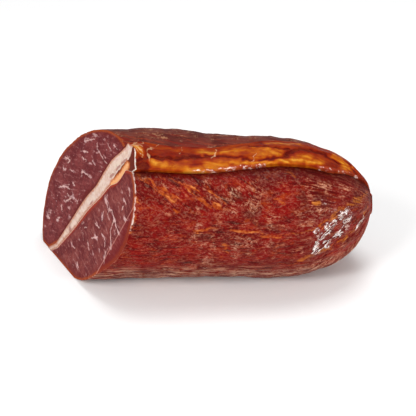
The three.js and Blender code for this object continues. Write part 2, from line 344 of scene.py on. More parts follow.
AMBER_PATCHES = [
    (1.5, [(-28, 124), (-21, 125)]),
    (1.6, [(-23, 126), (-12, 126)]),
    (1.4, [(-11, 128), (-2, 128)]),
    (1.7, [(-1, 124), (8, 122)]),
    (1.3, [(-4, 113), (2, 114)]),
    (1.6, [(8, 112), (18, 111)]),
    (2.2, [(21, 112), (35, 112)]),
    (0.9, [(11, 121), (26, 119)]),
    (0.8, [(26, 120), (38, 117)]),
    (1.5, [(41, 115), (50, 110)]),
    (1.3, [(48, 115), (56, 112)]),
    (1.0, [(62, 100), (68, 101)]),
    (1.0, [(65, 111), (71, 102)]),
    (0.8, [(28, 102), (45, 96)]),
    (0.8, [(63, 88), (68, 86)]),
    (1.6, [(-37, 115), (-34, 115)]),
]
DARK_VEINS = [
    (0.9, [(-34, 122), (-28, 120), (-21, 121), (-13, 119), (3, 116), (20, 118)]),
    (0.9, [(24, 118), (31, 116), (36, 114), (41, 108), (45, 104), (57, 101), (64, 106)]),
    (1.6, [(-35, 125), (-31, 128)]),
    (0.6, [(20, 106), (32, 107), (40, 106)]),
    (0.7, [(68, 98), (71, 102), (73, 103)]),
]
PALE_WISPS = [
    (0.4, [(-33, 107), (-33, 120)]),
    (0.35, [(-13, 108), (-14, 115)]),
    (0.45, [(3, 110), (3, 116), (1, 118)]),
    (0.4, [(-28, 111), (-30, 123)]),
    (0.35, [(-10, 124), (-9, 126)]),
    (0.35, [(-24, 107), (-29, 116)]),
    (0.35, [(20, 120), (23, 114)]),
]
RUDDY_STREAKS = [
    (1.0, [(-47, 97), (-43, 103), (-38, 108)]),
    (0.8, [(-44, 96), (-34, 102), (-22, 106)]),
    (0.7, [(-12, 99), (2, 104), (14, 104)]),
]
BACK_VEINS = [
    (0.6, [(8.5, 30), (6.5, 28), (-1.5, 26), (-5, 26)]),
    (0.5, [(0.5, 35), (-5, 33.5)]),
    (0.6, [(14.5, 11), (10.5, 12), (6, 12)]),
    (0.45, [(17.5, 17), (13, 18)]),
    (0.7, [(18.5, 20.5), (14, 22)]),
    (0.4, [(7.5, 20.5), (4, 20)]),
    (0.4, [(-6, 37), (-10.5, 37)]),
    (0.8, [(29.5, -6.5), (26, -4), (22, -3)]),
    (0.5, [(21.5, -6), (17, -6), (13.5, -4), (10, -4.5)]),
    (0.7, [(17, -6), (20.5, -10)]),
    (0.6, [(24, -14), (21.5, -16)]),
    (0.7, [(32.5, 9), (27.5, 10), (28.5, 8)]),
    (0.5, [(31.5, 3), (29.5, 3.5)]),
    (0.4, [(25, 6), (22, 6.5)]),
    (0.5, [(23.5, -22.5), (21.5, -20)]),
    (0.6, [(32.5, -25), (30, -26)]),
    (0.5, [(19.5, 25.5), (11.5, 31)]),
    (0.5, [(19, 1.5), (16.5, 1.5)]),
    (0.6, [(14.5, 32.5), (10.5, 33.5)]),
]
FRONT_VEINS = [
    (0.65, [(-10.5, 12.5), (-13.5, 10), (-17, 7.5), (-20.5, 8.5), (-28, 4), (-32, 1.5)]),
    (0.45, [(-18, 8), (-18, 5), (-20.5, 3.5)]),
    (0.5, [(-24.5, 5.5), (-24.5, -1.5), (-27, -4.5), (-29.5, -8)]),
    (0.45, [(-23, -8), (-24, -10.5)]),
    (0.55, [(-26, -11.5), (-27, -18.5)]),
    (0.4, [(-18, -6), (-22, -7)]),
    (0.8, [(-11, -13), (-15, -10)]),
    (0.55, [(-10, -5), (-14.5, -5)]),
    (0.55, [(-14, 4.5), (-14, 1.5), (-15.5, 0)]),
    (0.6, [(0.5, -10.5), (-1.5, -11.5), (-4.5, -11.5)]),
    (0.35, [(1.5, -14.5), (-2, -15), (-4.5, -18)]),
    (0.7, [(-4.5, -30.5), (-6.5, -32.5)]),
    (0.65, [(-28.5, 15.5), (-28.5, 13.5)]),
    (0.65, [(-33, 11.5), (-35, 11.5)]),
    (0.5, [(-27.5, 18.5), (-30.5, 18)]),
    (0.45, [(-29, 25.5), (-31.5, 23)]),
    (0.4, [(-8, -15.5), (-11.5, -19.5)]),
    (0.5, [(3, -26), (0.5, -26)]),
]
AMBER_WEDGE = [(2.3, [(-14, 19.5), (-18, 25.5), (-21, 32), (-22, 35)])]
BAND_BLOTS = [
    (1.0, [(-11, 22), (-13, 25)]),
    (0.9, [(-14, 28), (-16, 31)]),
    (0.8, [(-17, 33), (-20, 37)]),
    (1.1, [(6, -9), (4, -11)]),
    (1.4, [(11, -18), (9, -21)]),
    (0.7, [(0, 0), (-2, 3)]),
]
BAND_HEIGHTS = (18, 20, 24, 29, 35, 39, 45, 50)  # the white band's near edge under the knob: at these z,
BAND_EDGES = (-30, -14, -14, -16.5, -19.5, -22, -21.5, -21)  # these y
# The strip's lower edge: a pinkish bead of the fat's own colour, with a painted highlight along it.
PAINTED_BEAD_GLINTS = [
    (0.6, [(-8, 128), (0, 127), (8, 125), (16, 123), (27, 121)]),
    (0.65, [(54, 117), (60, 116), (68, 112), (74, 106)]),
]


def near_strokes(places, strokes):
    """From 0 to 1, how near each place is to a stroke's middle. A third value makes a stroke fainter."""
    nearest = np.zeros(places.shape[:-1])
    for width, points, *strength in strokes:
        points = np.asarray(points, float)
        for start, end in zip(points[:-1], points[1:]):
            run = end - start
            share = np.clip(((places - start) @ run) / (run @ run), 0, 1)
            gap = ((places - start - share[..., None] * run) ** 2).sum(-1)
            nearest = np.maximum(nearest, np.exp(-gap / width**2) * (strength or [1])[0])
    return nearest


def on_skin(x, degrees):
    """A place on the plain skin, in three dimensions."""
    across = skin_point(x, degrees, 0)
    return np.concatenate([np.asarray(x, float)[..., None], across], axis=-1)


def near_skin_strokes(x, degrees, strokes):
    solid = [(width, on_skin(*np.array(points, float).T)) for width, points in strokes]
    return near_strokes(on_skin(x, degrees), solid)


def unsteady(x, degrees, size, amount):
    """Places on the skin moved about a little, so that marks drawn there have an unsteady edge."""
    travel, around = travel_at(x), np.radians(degrees) * SKIN_RADIUS
    along = amount * grain(travel / size, around / size, 31)
    across = amount * grain(travel / size, around / size, 32)
    return x + along, degrees + np.degrees(across / SKIN_RADIUS)


def unsteady_cut(grid):
    """Places on the cut face moved about a little, for the same reason."""
    y, z = grid[..., 1], grid[..., 2]
    coarse, fine = grain(y / 2.4, z / 2.4, 33), grain(y / 0.9, z / 0.9, 34)
    slide = grain(y / 2.4, z / 2.4, 35)
    return np.stack([y + 0.4 * coarse + 0.3 * fine, z + 0.4 * slide + 0.3 * fine], axis=-1)


def scaled(strokes, share):
    return [(share * width, points) for width, points in strokes]


def flecks(groups, low, high, lean, seed):
    """Short strokes of fat in loose groups over the cut face, most of them leaning one way."""
    chance = np.random.default_rng(seed)
    strokes = []
    for _ in range(groups):
        heart = chance.uniform(low, high)
        spread = chance.uniform(1.0, 4.0)
        strength = chance.uniform(0.35, 1.0)
        for _ in range(chance.integers(2, 8)):
            middle = heart + chance.normal(0, spread, 2)
            angle = lean + chance.normal(0, 0.3)
            half = np.array([math.cos(angle), math.sin(angle)]) * chance.uniform(0.2, 1.1)
            width = chance.uniform(0.16, 0.34)
            strokes.append((width, [middle - half, middle + half], strength * chance.uniform(0.5, 1)))
    return strokes


def grain(across, along, seed):
    """Smooth unevenness from about -1 to 1, one swell to each unit."""
    across, along = np.broadcast_arrays(across, along)
    values = [noise.noise((a, b, seed * 7.31)) for a, b in zip(across.ravel(), along.ravel())]
    return np.array(values).reshape(across.shape)


def crests(across, along, seed):
    """Like grain, but with sharp crests, from 0 to 1."""
    return 1 - np.minimum(np.abs(grain(across, along, seed)) * 2.4, 1)


def dried_relief(x, degrees):
    """The fine relief of the dried meat: slow lumps, long fibres, and the ladders that the net pressed."""
    travel = travel_at(x)
    around = np.radians(degrees) * SKIN_RADIUS
    calm = ease(0, 0.5, taper(x))
    lumps = 0.12 * grain(travel / 9, around / 7, 1)
    fibres = 0.2 * grain(travel / 6, around / 1.6, 2)
    shallow = 0.12 * grain(travel / 2.2, around / 1.8, 3)
    bent = travel + 1.2 * grain(travel / 10, around / 9, 4)
    columns = np.cos(np.pi * (bent - 6) / 9.2) ** 10 * ease(-0.25, 0.35, grain(travel / 14, around / 12, 5))
    ladder = 0.16 * columns * np.sin(around * 2 * np.pi / 1.5 + 2 * grain(travel / 2, around / 3, 6))
    return (lumps + fibres + shallow + ladder) * calm - 0.2


def wet_relief(x, degrees):
    """The sharp, shining wrinkles low on the tail, which run slantwise up to its tip."""
    travel = travel_at(x)
    around = np.radians(degrees) * SKIN_RADIUS
    along, across = 0.64 * travel - 0.77 * around, 0.77 * travel + 0.64 * around
    across = across + 0.7 * grain(along / 5, across / 4, 8)
    broad, narrow = crests(along / 7, across / 2.1, 7), crests(along / 3, across / 1.1, 9)
    return 0.9 * (broad - 0.5) + 0.35 * (narrow - 0.5)


def edge_fade(x, degrees, first, last, width=2.5):
    """0 at either edge of a piece's skin, and 1 once well inside it."""
    scale = np.radians(1) * SKIN_RADIUS * np.maximum(taper(x), 0.1)
    return ease(0, width, (degrees - first) * scale) * ease(0, width, (last - degrees) * scale)


def front_relief(x, degrees):
    fade = edge_fade(x, degrees, strip_lower(x), SEAM_FRONT)
    wet = near_skin_strokes(x, degrees, WET_FOLDS)
    crease = near_skin_strokes(x, degrees, CREASE)
    scratch = near_skin_strokes(x, degrees, SCRATCH)
    relief = dried_relief(x, degrees) + wet_relief(x, degrees) * ease(0.25, 0.8, wet)
    return groove_relief(x, degrees) + (relief - 0.7 * crease + 0.25 * scratch) * fade


def back_relief(x, degrees):
    return dried_relief(x, degrees) * edge_fade(x, degrees, SEAM_BACK - 360, strip_upper(x))


def strip_relief(x, share):
    """The strip's own unevenness: soft swells, a bead along its lower edge, and creases across it."""
    travel = travel_at(x)
    degrees = blend(strip_upper(x), strip_lower(x), share)
    around = np.radians(degrees) * SKIN_RADIUS
    swells = 0.45 * grain(travel / 6, around / 3, 11) + 0.12 * grain(travel / 1.6, around / 1.2, 12)
    furrow = 0.5 * near_skin_strokes(x, degrees, DARK_VEINS)
    bead = 0.35 * np.exp(-(((share - 0.93) / 0.08) ** 2)) * (0.6 + 0.4 * grain(travel / 2.5, around * 0, 13))
    inside = ease(0, 0.12, share) * ease(0, 0.06, 1 - share)
    settled = 0.15 + 0.4 * (1 - ease(KNOB_START, KNOB_END, x))
    return ridge_relief(x, share) + (swells - furrow + bead - settled) * inside * ease(0, 0.4, taper(x))


# Each piece's outline across the loin, as runs of columns: how many, and where they lie.
def ring_of(runs, x):
    parts, start = [], 0
    for count, place in runs:
        parts.append(place(x[:, start : start + count], np.arange(count) / count))
        start += count
    parts.append(runs[0][1](x[:, -1:], np.zeros(1)))
    return np.concatenate(parts, axis=1)


def straight(first, last):
    return lambda x, share: blend(first(x), last(x), share[..., None])


def beside(x, degrees, side):
    """An edge's angle, moved off it by half the clearance."""
    return degrees + side * np.degrees(JOIN / 2 / (section_radius(degrees) * taper(x)))


def seam_run(side, first, last, grow):
    def place(x, share):
        return seam_side(x, np.broadcast_to(blend(first, last, share), x.shape), side, grow)

    return place


def seam_end(side, share, grow):
    return lambda x: seam_side(x, np.full(x.shape, float(share)), side, grow)


SKIN_COLUMNS = 226
SEAM_COLUMNS = 44
EDGE_COLUMNS = 4
FOOT_COLUMNS = 3


def front_degrees(x, share):
    return blend(beside(x, strip_lower(x), 1), beside(x, SEAM_FRONT, -1), share)


def back_degrees(x, share):
    return blend(beside(x, SEAM_BACK - 360, 1), beside(x, strip_upper(x), -1), share)


def rested(x, places):
    """Places across the loin, with those below the table's plane raised to it."""
    height = np.maximum(places[..., 1] + axis_height(x), RESTING_PLANE)
    return np.stack([places[..., 0], height - axis_height(x)], axis=-1)


def front_skin(x, share):
    degrees = front_degrees(x, share)
    return rested(x, skin_point(x, degrees, front_relief(x, degrees)))


def back_skin(x, share):
    degrees = back_degrees(x, share)
    return rested(x, skin_point(x, degrees, back_relief(x, degrees)))


FRONT_RUNS = [
    (SKIN_COLUMNS, front_skin),
    (FOOT_COLUMNS, straight(lambda x: front_skin(x, np.ones(1)), seam_end(1, 1, JOIN / 2))),
    (SEAM_COLUMNS, seam_run(1, 1, 0, JOIN / 2)),
    (EDGE_COLUMNS, straight(seam_end(1, 0, JOIN / 2), lambda x: front_skin(x, np.zeros(1)))),
]
BACK_RUNS = [
    (SKIN_COLUMNS, back_skin),
    (EDGE_COLUMNS, straight(lambda x: back_skin(x, np.ones(1)), seam_end(-1, 0, JOIN / 2))),
    (SEAM_COLUMNS, seam_run(-1, 0, 1, JOIN / 2)),
    (FOOT_COLUMNS, straight(seam_end(-1, 1, JOIN / 2), lambda x: back_skin(x, np.zeros(1)))),
]

STRIP_HALF, LIP_COLUMNS, SHOULDER_COLUMNS, SEAM_HALF, FOOT_HALF = 30, 4, 3, 44, 3


def strip_run(first, last):
    def place(x, share):
        share = np.broadcast_to(blend(first, last, share), x.shape)
        degrees = blend(beside(x, strip_upper(x), 1), beside(x, strip_lower(x), -1), share)
        return skin_point(x, degrees, strip_relief(x, share))

    return place


def strip_end(share):
    return lambda x: strip_run(share, share)(x, np.zeros(1))


def under_lip(x):
    degrees = beside(x, strip_lower(x), -1)
    return skin_point(x, degrees, groove_relief(x, degrees))


def beside_back(x):
    return skin_point(x, beside(x, strip_upper(x), 1), 0)


def foot_run(first, last):
    def place(x, share):
        degrees = blend(beside(x, SEAM_FRONT, 1), beside(x, SEAM_BACK, -1), blend(first, last, share))
        return rested(x, skin_point(x, degrees, 0))

    return place


FAT_RUNS = [
    (STRIP_HALF, strip_run(0.5, 1)),
    (LIP_COLUMNS, straight(strip_end(1), under_lip)),
    (SHOULDER_COLUMNS, straight(under_lip, seam_end(1, 0, -JOIN / 2))),
    (SEAM_HALF, seam_run(1, 0, 1, -JOIN / 2)),
    (FOOT_HALF, straight(seam_end(1, 1, -JOIN / 2), lambda x: foot_run(0, 0)(x, np.zeros(1)))),
    (FOOT_HALF, foot_run(0, 0.5)),
    (FOOT_HALF, foot_run(0.5, 1)),
    (FOOT_HALF, straight(lambda x: foot_run(1, 1)(x, np.zeros(1)), seam_end(-1, 1, -JOIN / 2))),
    (SEAM_HALF, seam_run(-1, 1, 0, -JOIN / 2)),
    (SHOULDER_COLUMNS, straight(seam_end(-1, 0, -JOIN / 2), beside_back)),
    (LIP_COLUMNS, straight(beside_back, strip_end(0))),
    (STRIP_HALF, strip_run(0, 0.5)),
]


# How far each run's edge is rounded at the cut, and the rows over the cut face and along the skin.
MUSCLE_RIMS = (0.5, 0.2, 0.12, 0.2)
FAT_RIMS = (0.7, 0.4, 0.2, 0.12, 0.12, 0.2, 0.2, 0.12, 0.12, 0.2, 0.4, 0.7)
MUSCLE_ROWS, FAT_ROWS = (84, 220), (16, 300)


def across_loin(runs, x):
    """The outline's y and z at x, raised to the table's plane where it would lie below it."""
    across = ring_of(runs, x)
    return across[..., 0], np.maximum(across[..., 1] + axis_height(x), RESTING_PLANE)


def cut_relief(y, z):
    """The cut face's slight waves, from the knife's stroke and from the meat drawing back as it dries."""
    return 0.16 * grain(y / 9, z / 9, 21) + 0.05 * grain(y / 2.2, z / 2.2, 22)


def sheet_of(runs, face_rows, skin_rows, rim, folds_to_line):
    """The places of a piece's sheet, row by row: out over the cut face, round its rim, along the skin to the
    tail, and in over the tail's end. Also each place's row kind, x, and distance in from the rim."""
    columns = sum(count for count, _ in runs) + 1
    edge_x = np.full((1, columns), float(CUT_X))
    for _ in range(6):
        y, z = across_loin(runs, edge_x)
        edge_x = cut_x(y, z)
    edge = np.stack([y[0], z[0]], axis=-1)
    if folds_to_line:
        heart = (edge + edge[::-1]) / 2
    else:
        turn = edge[:-1, 0] * edge[1:, 1] - edge[1:, 0] * edge[:-1, 1]
        heart = ((edge[:-1] + edge[1:]) * turn[:, None]).sum(0) / (3 * turn.sum())
        heart = np.broadcast_to(heart, edge.shape)
    inwards = heart - edge
    reach = np.linalg.norm(inwards, axis=-1, keepdims=True)
    inwards = np.divide(inwards, reach, out=np.zeros_like(inwards), where=reach > 1e-9)
    rims = np.minimum(rim[:, None], 0.6 * reach)
    rows, depth = [], []
    for share in np.linspace(0, 1, face_rows):
        flat = blend(heart, edge + inwards * rims, share)
        x = cut_x(flat[:, 0], flat[:, 1]) + cut_relief(flat[:, 0], flat[:, 1]) * min(1, (1 - share) * 12)
        rows.append(np.column_stack([x, flat]))
        depth.append(np.linalg.norm(flat - edge, axis=-1))
    for angle in (30, 60):
        turn = math.radians(angle)
        inset = edge + inwards * rims * (1 - math.sin(turn))
        x = cut_x(inset[:, 0], inset[:, 1]) + rims[:, 0] * (1 - math.cos(turn))
        rows.append(np.column_stack([x, inset]))
        depth.append(np.linalg.norm(inset - edge, axis=-1))
    first = travel_at(edge_x[0] + rims[:, 0])
    x = x_at(blend(first, PROFILE_TRAVEL[-1], np.linspace(0, 1, skin_rows)[:, None]))
    skin = np.stack([x, *across_loin(runs, x)], axis=-1)
    last = skin[-1]
    axis = np.array([0, axis_height(LAST_X)])
    tail = []
    for rise, size in ((0.35, 0.95), (0.7, 0.86), (0.92, 0.78), (1, 0.7)):
        tail.append(np.column_stack([last[:, 0] + NUB_LENGTH * rise, axis + (last[:, 1:] - axis) * size]))
    end = tail[-1]
    middle = (end + end[::-1]) / 2 if folds_to_line else np.broadcast_to(end[:-1].mean(0), end.shape)
    for share in (0.3, 0.6, 1):
        tail.append(blend(end, middle, share))
    grid = np.concatenate([np.array(rows), skin, np.array(tail)])
    face = np.concatenate([np.ones(face_rows), [0.7, 0.3], np.zeros(skin_rows + len(tail))])
    depth = np.array(depth + [np.zeros(columns)] * (skin_rows + len(tail)))
    at_cut = np.broadcast_to(edge_x, (face_rows + 2, columns))
    along = np.concatenate([at_cut, x, np.full((len(tail), columns), LAST_X)])
    return grid, np.broadcast_to(face[:, None], grid.shape[:2]), along, depth


def wrapped(name, grid, fields, finish):
    """A closed piece from a sheet that is wrapped round it, with its marks kept at its points."""
    rows, columns = grid.shape[:2]
    sheet = bmesh.new()
    bmesh.ops.create_grid(sheet, x_segments=columns - 1, y_segments=rows - 1, size=1)
    mesh = bpy.data.meshes.new(name)
    sheet.to_mesh(mesh)
    sheet.free()
    flat = np.empty(len(mesh.vertices) * 3)
    mesh.vertices.foreach_get("co", flat)
    flat = flat.reshape(-1, 3)
    column = np.rint((flat[:, 0] + 1) / 2 * (columns - 1)).astype(int)
    row = np.rint((flat[:, 1] + 1) / 2 * (rows - 1)).astype(int)
    mesh.vertices.foreach_set("co", to_frame(grid)[row, column].ravel())
    for field, values in fields.items():
        kind, key = ("FLOAT_VECTOR", "vector") if values.ndim == 3 else ("FLOAT", "value")
        kept = mesh.attributes.new(field, kind, "POINT")
        kept.data.foreach_set(key, values[row, column].astype(np.float32).ravel())
    closed = bmesh.new()
    closed.from_mesh(mesh)
    bmesh.ops.remove_doubles(closed, verts=closed.verts, dist=1e-6)
    bmesh.ops.recalc_face_normals(closed, faces=closed.faces)
    for face in closed.faces:
        face.smooth = True
    closed.to_mesh(mesh)
    closed.free()
    piece = bpy.data.objects.new(name, mesh)
    bpy.context.scene.collection.objects.link(piece)
    mesh.materials.append(finish)
    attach(piece, "root")
    return piece


def to_frame(places):
    """Places round the loin's own line, in mm, as places of the part's frame, held inside its box."""
    return np.clip((places + np.array(AXIS_PLACE)) * 0.001, np.array(cad_box[0]), np.array(cad_box[1]))


def column_values(runs, values):
    """One value for each run of columns, spread over its columns and the closing one."""
    spread = np.concatenate([np.full(count, float(value)) for (count, _), value in zip(runs, values)])
    return np.append(spread, spread[0])


# Finishes.
class Value:
    """A number or a vector on its way through a finish, so that its maths reads as maths."""

    def __init__(self, finish, socket):
        self.finish = finish
        self.socket = socket

    def maths(self, operation, first, second):
        return self.finish.add("Math", {"operation": operation}, {0: first, 1: second})

    def __add__(self, other):
        return self.maths("ADD", self, other)

    def __sub__(self, other):
        return self.maths("SUBTRACT", self, other)

    def __rsub__(self, other):
        return self.maths("SUBTRACT", other, self)

    def __mul__(self, other):
        return self.maths("MULTIPLY", self, other)

    def __abs__(self):
        return self.maths("ABSOLUTE", self, 0.0)

    __radd__ = __add__
    __rmul__ = __mul__


def shade(red, green, blue):
    """A colour as the eye's 0 to 255 numbers, made linear."""
    parts = (part / 255 for part in (red, green, blue))
    linear = (part / 12.92 if part <= 0.04045 else ((part + 0.055) / 1.055) ** 2.4 for part in parts)
    return (*linear, 1)


class Finish:
    """A material in the making. Its marks and places are the values kept at the mesh's points."""

    def __init__(self, name, **constants):
        self.material = bpy.data.materials.new(name)
        self.material.use_nodes = True
        self.tree = self.material.node_tree
        self.shader = self.tree.nodes["Principled BSDF"]
        for socket, value in constants.items():
            self.shader.inputs[socket.replace("_", " ")].default_value = value

    def add(self, kind, settings=None, inputs=None, output=0):
        node = self.tree.nodes.new("ShaderNode" + kind)
        for setting, value in (settings or {}).items():
            setattr(node, setting, value)
        for key, value in (inputs or {}).items():
            if isinstance(value, Value):
                self.tree.links.new(value.socket, node.inputs[key])
            else:
                node.inputs[key].default_value = value
        return Value(self, node.outputs[output])

    def mark(self, name):
        return self.add("Attribute", {"attribute_name": name}, output=2)

    def place(self, name):
        return self.add("Attribute", {"attribute_name": name}, output=1)

    def turned(self, place, degrees=0.0, scale=(1, 1, 1)):
        turn = (0, 0, math.radians(degrees))
        turned = self.add("Mapping", None, {"Vector": place, "Rotation": turn})
        return self.add("VectorMath", {"operation": "MULTIPLY"}, {0: turned, 1: scale})

    def noise(self, place, size, detail=3.0, rough=0.55, warp=0.0):
        return self.add(
            "TexNoise",
            None,
            {"Vector": place, "Scale": 1 / size, "Detail": detail, "Roughness": rough, "Distortion": warp},
        )

    def smooth(self, value, low, high):
        """0 below low, 1 above high and smooth between; low may be the larger."""
        return self.add(
            "MapRange",
            {"interpolation_type": "SMOOTHSTEP"},
            {"Value": value, "From Min": low, "From Max": high},
        )

    def lines(self, value, width):
        """Thin lines where a noise crosses its middle."""
        return self.smooth(abs(value - 0.5), width, width * 0.2)

    def between(self, share, first, second):
        """A number that goes from first to second as share goes from 0 to 1."""
        return self.add("Mix", None, {0: share, 2: first, 3: second})

    def mix(self, share, first, second):
        """A colour that goes from first to second as share goes from 0 to 1."""
        return self.add("Mix", {"data_type": "RGBA"}, {0: share, 6: first, 7: second}, output=2)

    def layers(self, colour, *layers):
        """A colour with others laid over it in turn, each by its own share."""
        for share, tint in layers:
            colour = self.mix(share, colour, shade(*tint))
        return colour

    def surface(self, colour, rough, coat, skin_height, cut_height, depth):
        """Feeds the shader: gloss as given on the skin, a dull cut face and relief of depth millimetres."""
        face = self.mark("face")
        height = self.between(face, skin_height, cut_height)
        relief = {"Height": height, "Distance": depth * 0.001, "Strength": 1.0}
        for socket, value in (
            ("Base Color", colour),
            ("Roughness", self.between(face, rough, CUT_ROUGHNESS)),
            ("Coat Weight", self.between(face, coat, 0.0)),
            ("Normal", self.add("Bump", None, relief)),
        ):
            self.tree.links.new(value.socket, self.shader.inputs[socket])
        return self.material


MEAT = {
    "Subsurface_Weight": 0.1,
    "Subsurface_Radius": (1.0, 0.3, 0.15),
    "Subsurface_Scale": 0.0015,
    "Specular_IOR_Level": 0.06,
    "Coat_Roughness": 0.1,
}
FAT = {**MEAT, "Subsurface_Weight": 0.3, "Subsurface_Radius": (1.0, 0.5, 0.2)}
CUT_ROUGHNESS = 0.5


def cut_meat(finish, skin_colour, plain, dark, pale, lean, at_fat):
    """The look of the cut face: fine grained mauve meat with flecks and veins of fat, and a dried rim."""
    place = finish.place("cut")
    wander = finish.noise(place, 9, 3)
    clumps = finish.noise(place, 6, 2)
    fine = finish.noise(finish.turned(place, lean, (0.4, 1.1, 1)), 1.9, 3, 0.65, 0.5)
    speck = finish.noise(place, 1.5, 3, 0.65)
    dashes = fine + (clumps - 0.5) * 0.9 + finish.mark("clouds") * 0.17
    vein = finish.mark("veins") + (speck - 0.5) * 1.3
    depth = finish.mark("rim") + (finish.noise(place, 3.5, 3) - 0.5) * 3.0
    edge_depth = finish.mark("rim") + (speck - 0.5) * 2.4
    colour = finish.layers(
        finish.mix(finish.smooth(wander, 0.38, 0.64), shade(*dark), shade(*plain)),
        (finish.smooth(speck, 0.5, 0.28) * 0.7, (66, 12, 15)),
        (finish.smooth(fine, 0.5, 0.7) * 0.5, pale),
        (finish.smooth(speck, 0.54, 0.74) * 0.35, pale),
        (finish.smooth(dashes, 0.64, 0.86) * 0.75, (194, 156, 154)),
        (finish.smooth(vein, 0.35, 0.9) * 0.8, (204, 164, 158)),
        (finish.smooth(depth, 5.5, 0.8) * 0.65, (94, 8, 8)),
    )
    edge = finish.mix(finish.mark("seam"), shade(150, 62, 14), shade(*at_fat))
    colour = finish.mix(finish.smooth(edge_depth, 2.3, 0.5) * 0.8, colour, edge)
    return finish.mix(finish.mark("face"), skin_colour, colour), fine, vein


def front_finish():
    """The shown side: red dried meat with the net's pale threads, orange streaks and wet wrinkles, with
    painted shade under the strip, painted glints on the wrinkles and the cut's rim, and the floor's
    reflection painted low down.
    """
    finish = Finish("front_meat", **MEAT)
    skin = finish.place("skin")
    broad = finish.noise(skin, 14, 2)
    patch = finish.noise(finish.turned(skin, 0, (0.7, 1, 1)), 4.5, 4, 0.6)
    veil = finish.noise(finish.turned(skin, -25, (0.6, 1, 1)), 7, 4, 0.6, 0.5)
    rust = finish.noise(finish.turned(skin, 20, (0.5, 1, 1)), 3.4, 4, 0.65, 0.8)
    grit = finish.noise(skin, 1.3, 2, 0.6)
    strands = [
        finish.noise(finish.turned(skin, turn, (0.22, 1, 1)), 1.9, 3, 0.6, 0.4) for turn in (0, -34, 50)
    ]
    crackle = [
        finish.noise(finish.turned(skin, turn, (stretch, 1, 1)), 2.6, 3, 0.62, 1.4)
        for turn, stretch in ((0, 0.5), (-34, 0.5), (50, 0.22))
    ]
    fibres = finish.noise(finish.turned(skin, -4, (0.12, 1, 1)), 1.7, 3, 0.6, 0.3)
    slant, rise, tail = (finish.mark(name) for name in ("slant", "rise", "tail"))
    bare, low, under, wet, crest = (finish.mark(name) for name in ("bare", "low", "under", "wet", "crest"))

    def by_zone(three):
        level, falling, rising = three
        return finish.between(rise, finish.between(slant, level, falling), rising)

    strand = finish.between(tail, by_zone(strands), fibres)
    crinkle = finish.between(tail * 0.8, by_zone(crackle), fibres)
    where = finish.smooth(finish.mark("pale") * 0.2 + low * 0.1 + patch - bare * 0.16, 0.53, 0.8)
    flake = finish.smooth(grit + (crinkle - 0.5) * 0.9, 0.6, 0.8) * where
    thread = finish.lines(crinkle, 0.06) * (where * 0.75 + 0.2) * finish.smooth(grit, 0.38, 0.62)
    hair = finish.lines(strand, 0.04) * finish.smooth(patch + where * 0.2, 0.46, 0.76)
    orange = finish.mark("orange") * 0.9 + (strand - 0.5) * 2.4 + (grit - 0.5) * 1.2
    streak = finish.smooth(orange, 0.4, 1.25)
    golden = finish.mix(finish.smooth(tail + rise, 0, 1), shade(172, 76, 18), shade(172, 94, 14))
    painted_rim_glint = finish.smooth(finish.mark("painted_rim_glint") + (grit - 0.5) * 1.6, 0.6, 1.0)
    folds = finish.noise(finish.turned(skin, 50, (0.22, 1, 1)), 2.2, 2, 0.5, 0.6)
    glint = finish.lines(folds, 0.045) * finish.smooth(wet + (grit - 0.5) * 1.4, 0.5, 0.95)
    colour = finish.layers(
        finish.mix(finish.smooth(broad, 0.4, 0.6), shade(98, 2, 2), shade(122, 8, 4)),
        (finish.smooth(veil - bare * 0.12, 0.48, 0.66) * 0.7, (84, 22, 14)),
        (finish.smooth(rust, 0.54, 0.7) * 0.55, (158, 60, 16)),
        (finish.smooth(strand, 0.47, 0.3) * 0.75, (50, 3, 2)),
        (finish.smooth(strand, 0.56, 0.72) * 0.5, (156, 56, 30)),
        (finish.smooth(grit, 0.46, 0.3) * 0.5, (58, 4, 3)),
        (tail * 0.4, (72, 5, 4)),
        (flake * 0.5, (178, 100, 74)),
        (thread * 0.75, (208, 152, 122)),
        (hair * 0.4, (196, 120, 86)),
    )
    colour = finish.layers(
        finish.mix(streak * 0.75, colour, golden),
        (streak * finish.smooth(strand, 0.56, 0.66) * 0.6, (212, 134, 72)),
        # painted shade: a dark band just below the strip, where its overhang shades the skin
        (under * 0.6, (50, 5, 4)),
        # painted reflection: a dull pinkish-brown tone low on the skin for the pale floor reflected there,
        # with the skin's own pale fibres over it
        (low * 0.35, (104, 36, 26)),
        (low * finish.smooth(strand, 0.5, 0.62) * 0.7, (204, 158, 128)),
        # painted highlight: a pale line along the cut's rim, where it catches the light
        (painted_rim_glint * 0.8, (220, 196, 184)),
        (finish.smooth(wet, 0.3, 0.9) * 0.5, (84, 24, 14)),
        # painted highlight: pale lines on the wet wrinkles' crests, where they shine
        (finish.smooth(crest + (grit - 0.5) * 1.2, 0.5, 1.1) * 0.5, (214, 176, 160)),
        (glint, (246, 238, 232)),
    )
    tints = (118, 50, 46), (94, 26, 28), (158, 96, 90)
    colour, fine, vein = cut_meat(finish, colour, *tints, -22, (150, 44, 12))
    trimmed = finish.mark("trimmed")
    crease = finish.smooth(abs(trimmed - 0.1), 0.35, 0.05) * finish.mark("face")
    colour = finish.layers(
        colour,
        (finish.smooth(trimmed, 0.1, 0.8) * 0.55, (104, 22, 24)),
        (crease * 0.5, (196, 130, 118)),
    )
    return finish.surface(
        colour,
        0.46 + patch * 0.2 - wet * 0.3,
        thread * 0.5 + flake * 0.3 + wet * 0.2 + crest * 0.3 + glint * 0.6 + painted_rim_glint,
        strand * 0.6 + crinkle * 0.5 + flake * 0.3 + thread * 0.3 + grit * 0.3,
        fine * 0.25 + finish.smooth(vein, 0.2, 0.9) * 0.15,
        0.4,
    )


